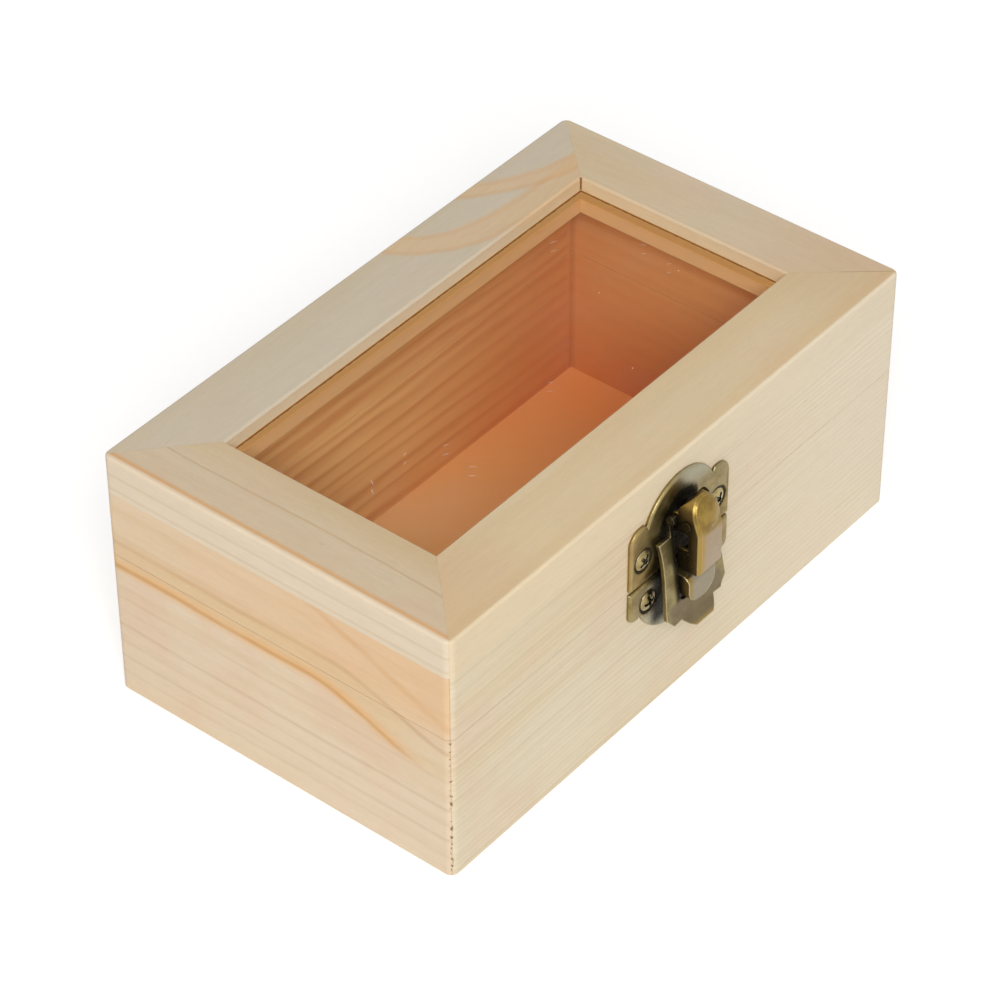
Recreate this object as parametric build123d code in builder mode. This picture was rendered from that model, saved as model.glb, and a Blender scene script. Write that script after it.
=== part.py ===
"""Pine box with a glazed lid, butt hinges behind and a duckbill latch in front.

The box stands on z = 0 with its length along X. The latch is on the -Y face and the hinges are on
the +Y face. The origin is the centre of the underside of the four walls. Sizes are in millimetres.
"""

from build123d import *
from math import cos, hypot, radians, sin, tan
import os

# Box, as it was glued up before it was sawn into a case and a lid
length = 127.0
width = 76.5
height = 54.0
seam_height = 32.0
saw_gap = 0.15
wall_thickness = 9.0
corner_radius = 1.6
arris = 0.6

# Bottom panel, let into a rebate and flush with the walls
bottom_thickness = 4.0
rebate_width = 4.5
panel_clearance = 0.15

# Top frame: four mitred rails round the window
frame_thickness = 8.0
front_rail_width = 15.7
back_rail_width = 14.2
left_rail_width = 15.7
right_rail_width = 13.3
window_arris = 0.4

# Pane, slid into a groove in the rails
glass_thickness = 2.0
glass_below_top = 3.0
groove_depth = 3.0
groove_play = 0.2

# Latch plates
latch_offset = -2.2
plate_width = 28.0
plate_thickness = 0.8
plate_bevel = 0.3
plate_from_seam = 0.4
upper_ear_height = 12.9
upper_ear_radius = 2.8
upper_dome_height = 18.2
upper_ear_flat = 1.3
lower_ear_height = 7.2
lower_ear_radius = 1.6
lower_dome_height = 14.2
lower_ear_flat = 0.9
notch_width = 0.5
notch_depth = 0.7

# Latch screws
upper_screw_from_edge = 3.5
upper_screw_height = 5.6
lower_screw_from_edge = 5.2
lower_screw_drop = 4.8
screw_shank_radius = 1.05
screw_head_radius = 2.15
screw_dish_radius = 2.65
screw_dish_angle = 130.0
screw_head_rise = 0.5
screw_crown_radius = 1.3
screw_length = 6.0

# Latch lever, a stamped channel, and the lugs of the upper plate that carry it
lever_pin_out = 4.5
lever_pin_height = 10.5
lever_pin_radius = 0.6
lever_pin_head_radius = 0.9
lever_pin_head = 0.25
lever_width = 6.75
lever_wall = 0.6
lever_face_thickness = 0.9
lever_top = 15.5
lever_foot = 0.4
lever_foot_out = 7.55
lever_crease_out = 7.5
lever_crease_height = 9.2
lever_peak_out = 5.1
lever_peak_height = 16.2
lever_cavity_out = 4.6
lever_cavity_top = 14.6
lever_back_out = 2.6
lever_shoulder_height = 13.5
lever_bevel = 0.6
lever_notch_top = 8.5
lever_notch_out = 4.9
lever_heel_height = 5.0
lever_heel_out = 2.6
lever_heel_foot_out = 2.9
lever_ear_radius = 1.5
lever_dome_radius = 6.5
lever_dome_rise = 0.7
lever_dome_edge = 3.1
lug_play = 0.3
lug_thickness = 0.8
lug_radius = 1.25
lug_top = 10.2
lug_foot = 6.9

# Latch loop, a sheet fork that hangs from two pins in the lever
loop_pin_out = 2.1
loop_pin_height = 11.5
loop_pin_radius = 0.5
loop_eye_radius = 0.9
loop_sheet_set = 0.6
loop_window_half = 4.3
loop_eye_half = 5.1
loop_horn_half = 8.3
loop_horn_height = 8.0
loop_waist_half = 7.8
loop_hip_half = 8.15
loop_cusp_half = 8.35
loop_corner_half = 6.7
loop_tab_half = 4.1
loop_thickness = 0.8
loop_lean = 8.0
loop_arm_length = 21.0
loop_lip_radius = 2.0
loop_lip_turn = 38.0
loop_lip_length = 2.0
loop_window_corner = 1.2
loop_bar_top = -6.2
loop_waist_height = 5.0
loop_hip_height = -5.0
loop_cusp_height = -8.0
loop_corner_height = -9.9
loop_notch_height = -9.8
loop_tab_root = -10.4
loop_tab_height = -12.1

# Catch tongue, pressed out of the lower plate
tongue_width = 7.4
tongue_wall = 0.7
tongue_web = 0.9
tongue_top = -0.9
tongue_bend = 1.6
tongue_play = 0.35
tongue_tip = -7.0
tongue_tip_radius = 3.2

# Butt hinges
hinge_from_end = 25.5
hinge_width = 18.0
leaf_height = 9.0
leaf_thickness = 0.8
barrel_radius = 1.6
hinge_pin_radius = 0.8
hinge_pin_head_radius = 1.3
hinge_pin_head = 0.45
centre_knuckle = 6.0
knuckle_gap = 0.15
barrel_play = 0.15
hinge_screw_spacing = 11.0
hinge_screw_from_axis = 5.8
hinge_screw_radius = 0.85
hinge_screw_head_radius = 1.7
hinge_screw_head_rise = 0.6
hinge_screw_crown_radius = 1.0
hinge_screw_length = 5.5

# Clearances
running_play = 0.05
hole_play = 0.06

half_length = length / 2
half_width = width / 2
inner_half_length = half_length - wall_thickness
inner_half_width = half_width - wall_thickness
frame_bottom = height - frame_thickness
window_x = (-half_length + left_rail_width, half_length - right_rail_width)
window_y = (-half_width + front_rail_width, half_width - back_rail_width)
window_centre = ((window_x[0] + window_x[1]) / 2, (window_y[0] + window_y[1]) / 2)
window_size = (window_x[1] - window_x[0], window_y[1] - window_y[0])
glass_top = height - glass_below_top
glass_bottom = glass_top - glass_thickness

# Planes on the faces that carry the fittings: local x to the right, local y up, normal outwards
front_plane = Plane(origin=(latch_offset, -half_width, seam_height), x_dir=(1, 0, 0), z_dir=(0, -1, 0))
back_plane = Plane(origin=(0, half_width, seam_height), x_dir=(-1, 0, 0), z_dir=(0, 1, 0))
# Section plane through the latch: local x points out of the front face, local y up
side_plane = Plane(origin=(latch_offset, -half_width, seam_height), x_dir=(0, -1, 0), z_dir=(-1, 0, 0))

half_plate = plate_width / 2
upper_screw_points = [(side * (half_plate - upper_screw_from_edge), upper_screw_height) for side in (-1, 1)]
lower_screw_points = [(side * (half_plate - lower_screw_from_edge), -lower_screw_drop) for side in (-1, 1)]
hinge_centres = (hinge_from_end - half_length, half_length - hinge_from_end)
half_screw_spacing = hinge_screw_spacing / 2
hinge_screw_columns = [centre + side * half_screw_spacing for centre in hinge_centres for side in (-1, 1)]
hinge_lid_screw_points = [(x, hinge_screw_from_axis) for x in hinge_screw_columns]
hinge_case_screw_points = [(x, -hinge_screw_from_axis) for x in hinge_screw_columns]

os.makedirs("parts", exist_ok=True)


def mitre_wedge(side, low_corner, high_corner):
    """Plan of one side of a mitred ring, cut from each outer corner through the inner one."""
    outer = {
        "front": ((-half_length, -half_width), (half_length, -half_width)),
        "right": ((half_length, -half_width), (half_length, half_width)),
        "back": ((half_length, half_width), (-half_length, half_width)),
        "left": ((-half_length, half_width), (-half_length, -half_width)),
    }
    inner_corner = {
        (-half_length, -half_width): low_corner,
        (half_length, -half_width): (high_corner[0], low_corner[1]),
        (half_length, half_width): high_corner,
        (-half_length, half_width): (low_corner[0], high_corner[1]),
    }
    start, end = [Vector(*corner) for corner in outer[side]]
    start_in, end_in = [Vector(*inner_corner[corner]) for corner in outer[side]]
    overshoot = 0.2
    return [
        start + (start - start_in) * overshoot,
        end + (end - end_in) * overshoot,
        end_in + (end_in - end) * overshoot,
        start_in + (start_in - start) * overshoot,
    ]


def wall(side, bottom, top, panel_rebate=0.0, drill=None):
    """One mitred board of the case or the lid, with its pilot holes."""
    low_corner = (-inner_half_length, -inner_half_width)
    high_corner = (inner_half_length, inner_half_width)
    with BuildPart() as board:
        with BuildSketch(Plane.XY.offset(bottom)):
            RectangleRounded(length, width, corner_radius)
            Rectangle(2 * inner_half_length, 2 * inner_half_width, mode=Mode.SUBTRACT)
        extrude(amount=top - bottom)
        if panel_rebate:
            foot = board.faces().sort_by(Axis.Z)[0]
            chamfer(foot.outer_wire().edges(), length=arris)
            with BuildSketch(Plane.XY.offset(bottom)):
                Rectangle(2 * (inner_half_length + rebate_width), 2 * (inner_half_width + rebate_width))
            extrude(amount=panel_rebate, mode=Mode.SUBTRACT)
        with BuildSketch(Plane.XY.offset(bottom)):
            Polygon(*mitre_wedge(side, low_corner, high_corner), align=None)
        extrude(amount=top - bottom, mode=Mode.INTERSECT)
        if drill:
            drill_plane, drill_points, drill_radius, drill_depth = drill
            with BuildSketch(drill_plane):
                with Locations(*drill_points):
                    Circle(drill_radius)
            extrude(amount=-drill_depth, mode=Mode.SUBTRACT)
    return board.part


def frame_rail(side):
    """One mitred rail of the top frame, grooved on its inner edge for the pane."""
    low_corner = (window_x[0], window_y[0])
    high_corner = (window_x[1], window_y[1])
    with BuildPart() as rail:
        with BuildSketch(Plane.XY.offset(frame_bottom)):
            RectangleRounded(length, width, corner_radius)
            with Locations(window_centre):
                Rectangle(*window_size, mode=Mode.SUBTRACT)
        extrude(amount=frame_thickness)
        top_face = rail.faces().sort_by(Axis.Z)[-1]
        fillet(top_face.outer_wire().edges(), radius=arris)
        top_face = rail.faces().sort_by(Axis.Z)[-1]
        chamfer(top_face.inner_wires().edges(), length=window_arris)
        with BuildSketch(Plane.XY.offset(glass_bottom)):
            with Locations(window_centre):
                Rectangle(window_size[0] + 2 * groove_depth, window_size[1] + 2 * groove_depth)
        extrude(amount=glass_thickness + groove_play, mode=Mode.SUBTRACT)
        with BuildSketch(Plane.XY.offset(frame_bottom)):
            Polygon(*mitre_wedge(side, low_corner, high_corner), align=None)
        extrude(amount=frame_thickness, mode=Mode.INTERSECT)
    return rail.part


# Latch screw: a round head over a countersunk underside, its origin level with the plate's face
dish_slope = tan(radians(screw_dish_angle / 2))
head_edge = -(screw_dish_radius - screw_head_radius) / dish_slope + running_play
head_seat = head_edge - (screw_head_radius - screw_shank_radius) / dish_slope
with BuildPart() as latch_screw:
    with BuildSketch(Plane.XZ):
        with BuildLine():
            Polyline(
                (0, screw_head_rise),
                (screw_crown_radius, screw_head_rise),
                (screw_head_radius, head_edge),
                (screw_shank_radius, head_seat),
                (screw_shank_radius, -screw_length),
                (0, -screw_length),
                close=True,
            )
        make_face()
    revolve(axis=Axis.Z)

# Hinge screw: a domed head that sits on the leaf, its origin level with the leaf's face
with BuildPart() as hinge_screw:
    with BuildSketch(Plane.XZ):
        with BuildLine():
            Polyline(
                (0, hinge_screw_head_rise),
                (hinge_screw_crown_radius, hinge_screw_head_rise),
                (hinge_screw_head_radius, 0),
                (hinge_screw_radius, 0),
                (hinge_screw_radius, -hinge_screw_length),
                (0, -hinge_screw_length),
                close=True,
            )
        make_face()
    revolve(axis=Axis.Z)


def screw_set(screw, plane, points):
    """Copies of one screw, square to a plane at the given points."""
    with BuildPart(plane) as group:
        with Locations(*points):
            add(screw)
    return group.part


# Walls of the case and the lid
latch_pilot = screw_shank_radius + hole_play
hinge_pilot = hinge_screw_radius + hole_play
case_drills = {
    "front": (front_plane, lower_screw_points, latch_pilot, screw_length),
    "back": (back_plane, hinge_case_screw_points, hinge_pilot, hinge_screw_length),
}
lid_drills = {
    "front": (front_plane, upper_screw_points, latch_pilot, screw_length),
    "back": (back_plane, hinge_lid_screw_points, hinge_pilot, hinge_screw_length),
}
pieces = {}
for side in ("front", "back", "left", "right"):
    pieces[side + "_wall"] = wall(side, 0, seam_height, bottom_thickness, case_drills.get(side))
    lid_board = wall(side, seam_height + saw_gap, frame_bottom, drill=lid_drills.get(side))
    pieces["lid_" + side + "_wall"] = lid_board
    pieces["frame_" + side + "_rail"] = frame_rail(side)

# Bottom panel in its rebate
with BuildPart() as bottom_panel:
    with BuildSketch():
        Rectangle(
            2 * (inner_half_length + rebate_width - panel_clearance),
            2 * (inner_half_width + rebate_width - panel_clearance),
        )
    extrude(amount=bottom_thickness)
pieces["bottom_panel"] = bottom_panel.part

# Pane, resting on the lower cheek of the groove
with BuildPart() as window_glass:
    with BuildSketch(Plane.XY.offset(glass_bottom)):
        with Locations(window_centre):
            Rectangle(
                window_size[0] + 2 * (groove_depth - groove_play),
                window_size[1] + 2 * (groove_depth - groove_play),
            )
    extrude(amount=glass_thickness)
pieces["window_glass"] = window_glass.part

# Upper plate of the latch: square ears, a dome between two notches, and two lugs for the lever
upper_ear_centre = (half_plate - upper_ear_radius, upper_ear_height - upper_ear_radius)
lower_ear_centre = (half_plate - lower_ear_radius, lower_ear_radius - lower_ear_height)
upper_shoulder = (half_plate - upper_ear_radius - upper_ear_flat, upper_ear_height)
lower_shoulder = (half_plate - lower_ear_radius - lower_ear_flat, -lower_ear_height)
upper_notch = (upper_shoulder[0] - notch_width, upper_ear_height - notch_depth)
lower_notch = (lower_shoulder[0] - notch_width, notch_depth - lower_ear_height)
lever_half = lever_width / 2
lever_inner_half = lever_half - lever_wall
lug_outer = lever_inner_half - lug_play
lug_inner = lug_outer - lug_thickness
lever_pin_point = (lever_pin_out, lever_pin_height)
with BuildPart(front_plane) as upper_plate:
    with BuildSketch(front_plane):
        with BuildLine():
            Polyline(
                (0, plate_from_seam),
                (half_plate, plate_from_seam),
                (half_plate, upper_ear_height - upper_ear_radius),
            )
            ear = CenterArc(upper_ear_centre, upper_ear_radius, 0, 90)
            Polyline(
                ear @ 1,
                upper_shoulder,
                upper_notch,
            )
            TangentArc((0, upper_dome_height), upper_notch, tangent=(1, 0))
            mirror(about=Plane.YZ)
        make_face()
    extrude(amount=plate_thickness)
    chamfer(upper_plate.faces().sort_by(Axis.Y)[0].edges(), length=plate_bevel)
    for lug_start in (lug_inner, -lug_outer):
        with BuildSketch(side_plane.offset(lug_start)):
            with Locations(lever_pin_point):
                Circle(lug_radius)
            with Locations((plate_thickness / 2, lug_foot)):
                Rectangle(plate_thickness / 2, lug_top - lug_foot, align=(Align.MIN, Align.MIN))
            make_hull()
        extrude(amount=lug_thickness)
    with BuildSketch(side_plane.offset(-lug_outer)):
        with Locations(lever_pin_point):
            Circle(lever_pin_radius + running_play)
    extrude(amount=2 * lug_outer, mode=Mode.SUBTRACT)
    with Locations(*[(x, y, plate_thickness) for x, y in upper_screw_points]):
        CounterSinkHole(latch_pilot, screw_dish_radius, counter_sink_angle=screw_dish_angle)
upper_plate.part.label = "latch_upper_plate"
export_step(upper_plate.part, "parts/latch_upper_plate.step")

# Lower plate of the latch, with the catch tongue that the loop goes round
tongue_half = tongue_width / 2
loop_direction = (sin(radians(loop_lean)), -cos(radians(loop_lean)))
loop_sheet_start = (loop_pin_out - loop_sheet_set, loop_pin_height)
sheet_out_at_tip = loop_sheet_start[0] + (loop_pin_height - tongue_tip) * tan(radians(loop_lean))
tongue_web_back = sheet_out_at_tip + loop_thickness / 2 / cos(radians(loop_lean)) + tongue_play
tongue_front = tongue_web_back + tongue_web
tongue_flange_foot = loop_bar_top + tongue_play
with BuildPart(front_plane) as lower_plate:
    with BuildSketch(front_plane):
        with BuildLine():
            Polyline(
                (0, -plate_from_seam),
                (half_plate, -plate_from_seam),
                (half_plate, -lower_ear_height + lower_ear_radius),
            )
            ear = CenterArc(lower_ear_centre, lower_ear_radius, 0, -90)
            Polyline(
                ear @ 1,
                lower_shoulder,
                lower_notch,
            )
            TangentArc((0, -lower_dome_height), lower_notch, tangent=(1, 0))
            mirror(about=Plane.YZ)
        make_face()
    extrude(amount=plate_thickness)
    chamfer(lower_plate.faces().sort_by(Axis.Y)[0].edges(), length=plate_bevel)
    with Locations(*[(x, y, plate_thickness) for x, y in lower_screw_points]):
        CounterSinkHole(latch_pilot, screw_dish_radius, counter_sink_angle=screw_dish_angle)

# The tongue: a rounded nose with a front web, two flanges and an open underside
with BuildPart() as tongue:
    with BuildSketch(side_plane):
        with BuildLine():
            roof = Line((plate_thickness / 2, tongue_top), (tongue_front - tongue_bend, tongue_top))
            nose = TangentArc(roof @ 1, (tongue_front, tongue_top - tongue_bend), tangent=(1, 0))
            Polyline(
                nose @ 1,
                (tongue_front, tongue_tip),
                (tongue_web_back, tongue_tip),
                (tongue_web_back, tongue_flange_foot),
                (plate_thickness / 2, tongue_flange_foot),
                (plate_thickness / 2, tongue_top),
            )
        make_face()
    extrude(amount=tongue_half, both=True)
    with BuildSketch(side_plane):
        with Locations((plate_thickness, tongue_flange_foot - tongue_play)):
            Rectangle(
                tongue_web_back - plate_thickness,
                tongue_top - tongue_wall - tongue_flange_foot + tongue_play,
                align=(Align.MIN, Align.MIN),
            )
    extrude(amount=tongue_half - tongue_wall, both=True, mode=Mode.SUBTRACT)
    with BuildSketch(front_plane) as tongue_outline:
        with Locations((0, tongue_tip)):
            Rectangle(tongue_width, tongue_top - tongue_tip, align=(Align.CENTER, Align.MIN))
        fillet(tongue_outline.vertices().group_by(Axis.Y)[0], radius=tongue_tip_radius)
    extrude(amount=tongue_front, mode=Mode.INTERSECT)
with BuildPart() as catch_plate:
    add(lower_plate.part)
    add(tongue.part)
catch_plate.part.label = "latch_lower_plate"
export_step(catch_plate.part, "parts/latch_lower_plate.step")

# Lever: a channel with a round head and a flat bill, open towards the box. The head leans back from
# the crease, and the metal of the channel is as thick inside the lean as it is on the bill.
lever_head_height = lever_top - lever_half
lean_back = (lever_crease_out - lever_peak_out, lever_peak_height - lever_crease_height)
lean_length = hypot(*lean_back)
lean_inset = lever_face_thickness * lean_length / lean_back[1]
roof_fall = (lever_peak_out - lever_back_out, lever_peak_height - lever_shoulder_height)
roof_inset = lever_wall * hypot(*roof_fall) / roof_fall[0]
loop_pin_point = (loop_pin_out, loop_pin_height)
with BuildPart() as lever_cavity:
    with BuildSketch(side_plane):
        with BuildLine():
            Polyline(
                (lever_foot_out - lean_inset, -lever_wall),
                (lever_crease_out - lean_inset, lever_crease_height),
                (lever_cavity_out, lever_cavity_top),
                (lever_back_out, lever_shoulder_height - roof_inset),
                (-lever_wall, lever_shoulder_height - roof_inset),
                (-lever_wall, -lever_wall),
                close=True,
            )
        make_face()
    extrude(amount=lever_inner_half, both=True)
    with BuildSketch(front_plane):
        with Locations((0, lever_head_height)):
            Circle(lever_inner_half)
            Rectangle(2 * lever_inner_half, lever_top + lever_half, align=(Align.CENTER, Align.MAX))
    extrude(amount=2 * lever_foot_out, both=True, mode=Mode.INTERSECT)

# The dome on the head is a cap of a sphere whose middle stands on the leaning face
head_share = (lever_head_height - lever_crease_height) / lean_back[1]
dome_sink = lever_dome_radius - lever_dome_rise
dome_out = lever_crease_out - head_share * lean_back[0] - dome_sink * lean_back[1] / lean_length
dome_height = lever_head_height - dome_sink * lean_back[0] / lean_length
with BuildPart(front_plane) as lever_dome:
    with Locations((0, dome_height, dome_out)):
        Sphere(lever_dome_radius)
    with BuildSketch(front_plane.offset(lever_peak_out)):
        with Locations((0, lever_head_height)):
            Circle(lever_dome_edge)
    extrude(amount=lever_foot_out, mode=Mode.INTERSECT)
with BuildPart() as latch_lever:
    with BuildSketch(side_plane):
        with BuildLine():
            Polyline(
                (lever_foot_out, lever_foot),
                (lever_crease_out, lever_crease_height),
                (lever_peak_out, lever_peak_height),
                (lever_back_out, lever_shoulder_height),
                (lever_back_out, lever_notch_top),
                (lever_notch_out, lever_notch_top),
                (lever_notch_out, lever_heel_height),
                (lever_heel_out, lever_heel_height),
                (lever_heel_foot_out, lever_foot),
                close=True,
            )
        make_face()
    extrude(amount=lever_half, both=True)
    with BuildSketch(front_plane):
        with Locations((0, lever_head_height)):
            Circle(lever_half)
            Rectangle(lever_width, lever_top + lever_half, align=(Align.CENTER, Align.MAX))
    extrude(amount=2 * lever_foot_out, mode=Mode.INTERSECT)
    bill_face, head_face = latch_lever.faces().sort_by(Axis.Y)[:2]
    crease = set(bill_face.edges()) & set(head_face.edges())
    chamfer(set(bill_face.edges() + head_face.edges()) - crease, length=lever_bevel)
    add(lever_dome.part)
    add(lever_cavity.part, mode=Mode.SUBTRACT)
    for ear_start in (lever_inner_half, -lever_half):
        with BuildSketch(side_plane.offset(ear_start)):
            with Locations(lever_pin_point):
                Circle(lever_ear_radius)
            with Locations(loop_pin_point):
                Circle(loop_eye_radius)
            make_hull()
        extrude(amount=lever_wall)
    with BuildSketch(side_plane):
        with Locations(lever_pin_point):
            Circle(lever_pin_radius + running_play)
        with Locations(loop_pin_point):
            Circle(loop_pin_radius + running_play)
    extrude(amount=lever_half, both=True, mode=Mode.SUBTRACT)
latch_lever.part.label = "latch_lever"
export_step(latch_lever.part, "parts/latch_lever.step")

# Lever pin, with a riveted head outside each cheek of the lever
with BuildPart() as lever_pin:
    with BuildSketch(side_plane):
        with Locations(lever_pin_point):
            Circle(lever_pin_radius)
    extrude(amount=lever_half + running_play, both=True)
    for head_start in (lever_half + running_play, -lever_half - running_play - lever_pin_head):
        with BuildSketch(side_plane.offset(head_start)):
            with Locations(lever_pin_point):
                Circle(lever_pin_head_radius)
        extrude(amount=lever_pin_head)
lever_pin.part.label = "latch_lever_pin"
export_step(lever_pin.part, "parts/latch_lever_pin.step")

# Loop: a leaning sheet fork with an eye over each arm and a flared tab at its foot
with BuildPart() as latch_loop:
    with BuildSketch(side_plane):
        with BuildLine():
            arm = PolarLine(loop_sheet_start, loop_arm_length, direction=loop_direction)
            bend = JernArc(arm @ 1, arm % 1, loop_lip_radius, loop_lip_turn)
            PolarLine(bend @ 1, loop_lip_length, direction=bend % 1)
        trace(line_width=loop_thickness)
        with Locations(loop_pin_point):
            Circle(loop_eye_radius)
    extrude(amount=loop_cusp_half, both=True)
    with BuildSketch(front_plane):
        with BuildLine():
            Polyline(
                (0, loop_pin_height + loop_eye_radius),
                (loop_eye_half, loop_pin_height + loop_eye_radius),
                (loop_eye_half, loop_horn_height),
                (loop_horn_half, loop_horn_height),
            )
            Spline(
                (loop_horn_half, loop_horn_height),
                (loop_waist_half, loop_waist_height),
                (loop_hip_half, loop_hip_height),
                (loop_cusp_half, loop_cusp_height),
            )
            Polyline(
                (loop_cusp_half, loop_cusp_height),
                (loop_corner_half, loop_corner_height),
                (loop_tab_half + notch_width, loop_notch_height),
                (loop_tab_half, loop_tab_root),
            )
            TangentArc((0, loop_tab_height), (loop_tab_half, loop_tab_root), tangent=(1, 0))
            mirror(about=Plane.YZ)
        make_face()
    extrude(amount=2 * lever_foot_out, mode=Mode.INTERSECT)
    with BuildSketch(front_plane) as loop_window:
        with Locations((0, loop_bar_top)):
            Rectangle(2 * loop_window_half, 2 * loop_arm_length, align=(Align.CENTER, Align.MIN))
        fillet(loop_window.vertices().group_by(Axis.Y)[0], radius=loop_window_corner)
    extrude(amount=2 * lever_foot_out, mode=Mode.SUBTRACT)
    with BuildSketch(side_plane):
        with Locations(loop_pin_point):
            Circle(loop_pin_radius + running_play)
    extrude(amount=loop_eye_half, both=True, mode=Mode.SUBTRACT)
latch_loop.part.label = "latch_loop"
export_step(latch_loop.part, "parts/latch_loop.step")

# Loop pins, one through each cheek of the lever and the eye beside it
with BuildPart() as loop_pins:
    for pin_start in (lever_inner_half, -loop_eye_half):
        with BuildSketch(side_plane.offset(pin_start)):
            with Locations(loop_pin_point):
                Circle(loop_pin_radius)
        extrude(amount=loop_eye_half - lever_inner_half)
loop_pins.part.label = "latch_loop_pins"
export_step(loop_pins.part, "parts/latch_loop_pins.step")

# Screws
plate_face = front_plane.offset(plate_thickness)
pieces["upper_plate_screws"] = screw_set(latch_screw.part, plate_face, upper_screw_points)
pieces["lower_plate_screws"] = screw_set(latch_screw.part, plate_face, lower_screw_points)
leaf_face = back_plane.offset(leaf_thickness)
pieces["hinge_case_screws"] = screw_set(hinge_screw.part, leaf_face, hinge_case_screw_points)
pieces["hinge_lid_screws"] = screw_set(hinge_screw.part, leaf_face, hinge_lid_screw_points)

# Hinge axis, just behind the back face and level with the seam
hinge_axis_y = half_width + barrel_radius + barrel_play
leaf_edge = barrel_radius + 2 * barrel_play


def hinge_leaf(centre, upward, knuckles):
    """One leaf: a plate screwed to the back with its share of the barrel, given as X spans."""
    with BuildPart() as leaf:
        with BuildSketch(back_plane):
            with Locations((-centre, upward * (leaf_edge + leaf_height) / 2)):
                Rectangle(hinge_width, leaf_height - leaf_edge)
            for start, end in knuckles:
                with Locations((-centre - (start + end) / 2, upward * (leaf_edge + saw_gap) / 2)):
                    Rectangle(end - start, leaf_edge - saw_gap)
        extrude(amount=leaf_thickness)
        for start, end in knuckles:
            with BuildSketch(Plane.YZ.offset(centre + start)):
                with Locations((hinge_axis_y, seam_height)):
                    Circle(barrel_radius)
            extrude(amount=end - start)
        with BuildSketch(Plane.YZ.offset(centre - hinge_width / 2)):
            with Locations((hinge_axis_y, seam_height)):
                Circle(hinge_pin_radius + running_play)
        extrude(amount=hinge_width, mode=Mode.SUBTRACT)
        with BuildSketch(back_plane):
            with Locations((-centre, upward * hinge_screw_from_axis)):
                with GridLocations(hinge_screw_spacing, 0, 2, 1):
                    Circle(hinge_pilot)
        extrude(amount=leaf_thickness, mode=Mode.SUBTRACT)
    return leaf.part


def hinge_pin(centre):
    """A plain pin with a riveted head at each end of the barrel."""
    pin_half = hinge_width / 2 + running_play
    with BuildPart() as pin:
        with BuildSketch(Plane.YZ.offset(centre - pin_half)):
            with Locations((hinge_axis_y, seam_height)):
                Circle(hinge_pin_radius)
        extrude(amount=2 * pin_half)
        for start in (centre - pin_half - hinge_pin_head, centre + pin_half):
            with BuildSketch(Plane.YZ.offset(start)):
                with Locations((hinge_axis_y, seam_height)):
                    Circle(hinge_pin_head_radius)
            extrude(amount=hinge_pin_head)
    return pin.part


half_hinge = hinge_width / 2
half_knuckle = centre_knuckle / 2
case_knuckles = [(-half_hinge, -half_knuckle - knuckle_gap), (half_knuckle + knuckle_gap, half_hinge)]
lid_knuckles = [(-half_knuckle, half_knuckle)]
for name, centre in zip(("left", "right"), hinge_centres):
    pieces[name + "_hinge_case_leaf"] = hinge_leaf(centre, -1, case_knuckles)
    pieces[name + "_hinge_lid_leaf"] = hinge_leaf(centre, 1, lid_knuckles)
    pieces[name + "_hinge_pin"] = hinge_pin(centre)

for name, piece in pieces.items():
    piece.label = name
    export_step(piece, "parts/" + name + ".step")
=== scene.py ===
# %% [markdown]
# # A small pine box with a glazed lid
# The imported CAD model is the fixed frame: every board, plate and pin already has its real size
# and place. What this notebook adds is what a camera sees: sawn and sanded pine with its grain, a
# clear pane with a few scratches, and an antique-bronze latch with rubbed edges.
#
# The first cell loads that frame. Blender's lengths are in metres, so small sizes are written as
# a number of millimetres times MM.

# %% Load the frame
import math
import bmesh
import bpy
from mathutils import Matrix, Vector


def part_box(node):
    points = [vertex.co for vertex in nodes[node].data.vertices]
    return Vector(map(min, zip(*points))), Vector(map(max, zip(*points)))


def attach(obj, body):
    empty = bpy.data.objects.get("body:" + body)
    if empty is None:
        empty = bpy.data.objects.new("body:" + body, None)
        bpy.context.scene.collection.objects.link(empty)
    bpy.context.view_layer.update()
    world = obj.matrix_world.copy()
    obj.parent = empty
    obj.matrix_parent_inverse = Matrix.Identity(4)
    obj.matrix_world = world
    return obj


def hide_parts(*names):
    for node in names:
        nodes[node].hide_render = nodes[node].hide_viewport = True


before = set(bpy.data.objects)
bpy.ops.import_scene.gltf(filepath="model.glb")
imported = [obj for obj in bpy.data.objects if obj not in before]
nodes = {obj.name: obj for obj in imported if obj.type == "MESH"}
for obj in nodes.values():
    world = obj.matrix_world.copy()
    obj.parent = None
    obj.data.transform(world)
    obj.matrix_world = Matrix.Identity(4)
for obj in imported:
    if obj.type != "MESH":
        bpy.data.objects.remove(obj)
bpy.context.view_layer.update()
scene = bpy.context.scene
MM = 0.001

# %% [markdown]
# ## The camera
# The photograph looks down on the near left corner of the box with a long lens. The camera stands
# at the point from which the box's seven visible corners fall where they do in the photograph. A
# Track To constraint would need a target object, so the matrix is built from three axes instead.

# %% Camera
camera_place = Vector((-422.32, -340.88, 485.27)) * MM
camera_aim = Vector((0.35, 3.07, 20.0)) * MM
camera_roll = math.radians(-0.25)
camera_data = bpy.data.cameras.new("camera")
camera_data.lens = 143.07
camera_data.sensor_width = 36.0
camera_data.clip_start = 0.01
camera = bpy.data.objects.new("camera", camera_data)
scene.collection.objects.link(camera)
forward = (camera_aim - camera_place).normalized()
level = forward.cross(Vector((0, 0, 1))).normalized()
upright = level.cross(forward)
right = level * math.cos(camera_roll) + upright * math.sin(camera_roll)
above = upright * math.cos(camera_roll) - level * math.sin(camera_roll)
turn = Matrix((right, above, -forward)).transposed().to_4x4()
camera.matrix_world = Matrix.Translation(camera_place) @ turn
scene.camera = camera
print("camera", round((camera_aim - camera_place).length, 3), "m away")

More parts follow.
